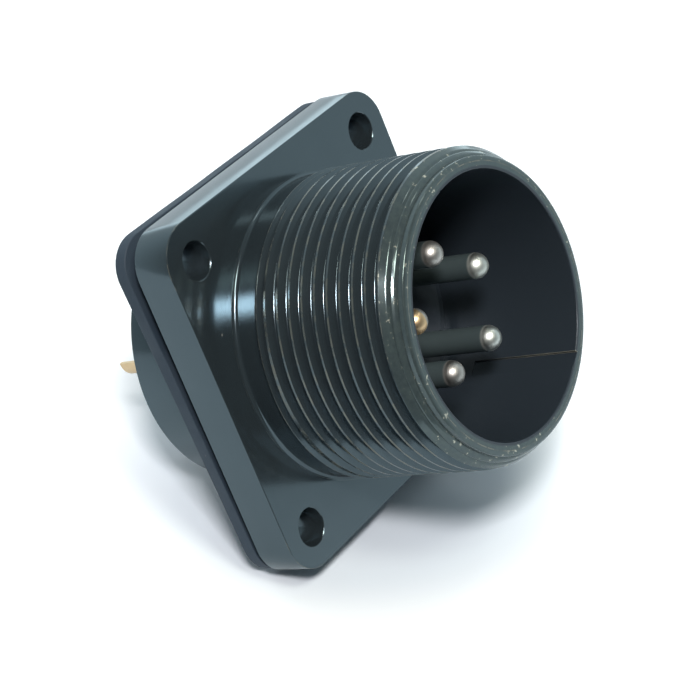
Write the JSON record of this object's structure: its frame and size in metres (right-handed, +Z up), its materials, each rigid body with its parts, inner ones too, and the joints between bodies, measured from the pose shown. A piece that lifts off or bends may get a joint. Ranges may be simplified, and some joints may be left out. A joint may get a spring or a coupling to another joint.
{
  "type": "aviation plug connector",
  "caption": "Square-flange panel receptacle with a threaded coupling barrel, pin contacts in a moulded insert, rear solder cups and a flange gasket.",
  "frame": {"origin": "centre of the square flange's rear face, on the barrel's axis", "axes": "-Y out of the socket along the barrel's axis, +Z up, flange edges along X and Z"},
  "size_m": [0.0344, 0.0397, 0.0344],
  "materials": {
    "shell": "semi-gloss dark olive plating, worn bright on the thread's crests",
    "gasket": "matt black sheet rubber",
    "front_insert": "black moulded insulator",
    "rear_insert": "black moulded insulator",
    "retaining_ring": "plated spring steel",
    "contacts": "bright silver plating over brass"
  },
  "bodies": {
    "root": {"shell": "shell", "gasket": "gasket", "front_insert": "front_insert", "rear_insert": "rear_insert", "retaining_ring": "retaining_ring", "pin_a": "contacts", "pin_b": "contacts", "pin_c": "contacts", "pin_d": "contacts", "pin_e": "contacts"}
  },
  "joints": []
}
